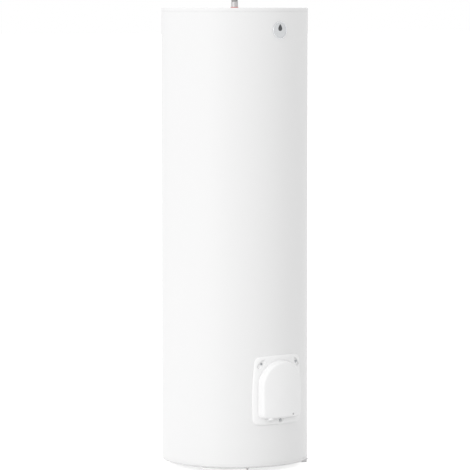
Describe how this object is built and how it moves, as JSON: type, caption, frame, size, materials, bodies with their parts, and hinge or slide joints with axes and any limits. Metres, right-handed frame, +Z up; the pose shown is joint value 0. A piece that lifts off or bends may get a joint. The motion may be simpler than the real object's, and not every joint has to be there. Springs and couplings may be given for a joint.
{
  "type": "tank water heater",
  "caption": "Floor-standing cylindrical electric storage water heater with a front service cover, a top hot outlet and a low side inlet.",
  "frame": {"origin": "on the floor, on the tank's vertical axis", "axes": "+Z up along the tank's axis, -Y towards the service cover and the badge, +X to the right seen from the front"},
  "size_m": [0.615, 0.6285, 1.838],
  "materials": {
    "casing_lacquer": "smooth white stove lacquer, satin gloss",
    "foot_lacquer": "white powder coat, satin",
    "cover_plastic": "white injection moulded plastic, satin gloss",
    "raw_steel": "hot rolled steel, dark mill scale outside, enamelled inside",
    "enamel": "vitreous enamel, deep blue, glossy",
    "foam": "rigid polyurethane foam, pale yellow, cut face",
    "foam_board": "expanded polystyrene ring, fine beads",
    "zinc_steel": "bright zinc plated steel",
    "pipe_steel": "galvanised steel pipe, dull zinc bloom",
    "hot_red": "red plastic ring",
    "cold_blue": "blue plastic ring",
    "black_rubber": "moulded rubber, matt",
    "pale_rubber": "moulded light grey rubber, matt",
    "ceramic": "unglazed steatite, cream",
    "resistance_wire": "coiled resistance wire, oxidised",
    "magnesium": "cast magnesium, dull grey",
    "stainless": "stainless tube, satin",
    "probe_metal": "drawn tube, brassy",
    "bakelite": "dark brown moulded phenolic",
    "knob_plastic": "off-white plastic",
    "button_red": "red plastic",
    "terminal_plastic": "ivory polyamide",
    "brass": "turned brass",
    "live_brown": "brown PVC insulation",
    "neutral_blue": "blue PVC insulation",
    "earth_green": "green and yellow PVC insulation",
    "grey_plastic": "grey polyamide",
    "lamp_amber": "amber translucent lamp body",
    "lens_frosted": "frosted pale grey lens",
    "badge_silver": "satin metallised rim",
    "badge_face": "silver-grey plate with a plain water drop"
  },
  "bodies": {
    "heater": {"jacket": "casing_lacquer", "top_cover": "casing_lacquer", "bottom_cover": "casing_lacquer", "left_foot": "foot_lacquer", "right_foot": "foot_lacquer", "rear_foot": "foot_lacquer", "foot_bolts": "zinc_steel", "left_support_leg": "raw_steel", "right_support_leg": "raw_steel", "rear_support_leg": "raw_steel", "tank_shell": "raw_steel", "tank_top": "raw_steel", "tank_bottom": "raw_steel", "foam_insulation": "foam", "foam_collar": "foam_board", "hot_outlet": "pipe_steel", "hot_ring": "hot_red", "cold_inlet": "pipe_steel", "cold_ring": "cold_blue", "inlet_diffuser": "knob_plastic", "flange_neck": "raw_steel", "flange_studs": "zinc_steel", "flange_gasket": "black_rubber", "heater_flange": "enamel", "flange_nuts": "zinc_steel", "element_sheath": "enamel", "ceramic_core": "ceramic", "heating_wires": "resistance_wire", "element_head": "bakelite", "anode_rod": "magnesium", "anode_nut": "zinc_steel", "probe_pocket": "stainless", "control_probe": "probe_metal", "cutout_probe": "probe_metal", "thermostat_body": "bakelite", "terminal_bracket": "zinc_steel", "terminal_block": "terminal_plastic", "terminal_screws": "brass", "earth_stud": "brass", "earth_nut": "brass", "live_lead": "live_brown", "neutral_lead": "neutral_blue", "earth_lead": "earth_green", "cable_clamp": "grey_plastic", "clamp_screws": "zinc_steel", "pilot_lamp": "lamp_amber", "screw_anchors": "grey_plastic", "badge_rim": "badge_silver", "badge_plate": "badge_face"},
    "cover": {"service_cover": "cover_plastic", "cover_screws": "zinc_steel", "lamp_lens": "lens_frosted", "cable_grommet": "pale_rubber"},
    "knob": {"thermostat_knob": "knob_plastic"},
    "button": {"reset_button": "button_red"}
  },
  "joints": [
    {"name": "cover_lift_off", "type": "slide", "parent": "heater", "child": "cover", "axis": [0, -1, 0], "range_m": [0, 0.25]},
    {"name": "thermostat_knob_turn", "type": "hinge", "parent": "heater", "child": "knob", "pos_m": [0, -0.3096, 0.346], "axis": [0, -1, 0], "range_deg": [-30, 240]},
    {"name": "reset_button_press", "type": "slide", "parent": "heater", "child": "button", "axis": [0, 1, 0], "range_m": [0, 0.002], "stiffness_N_per_m": 800, "springref_m": -0.001}
  ]
}
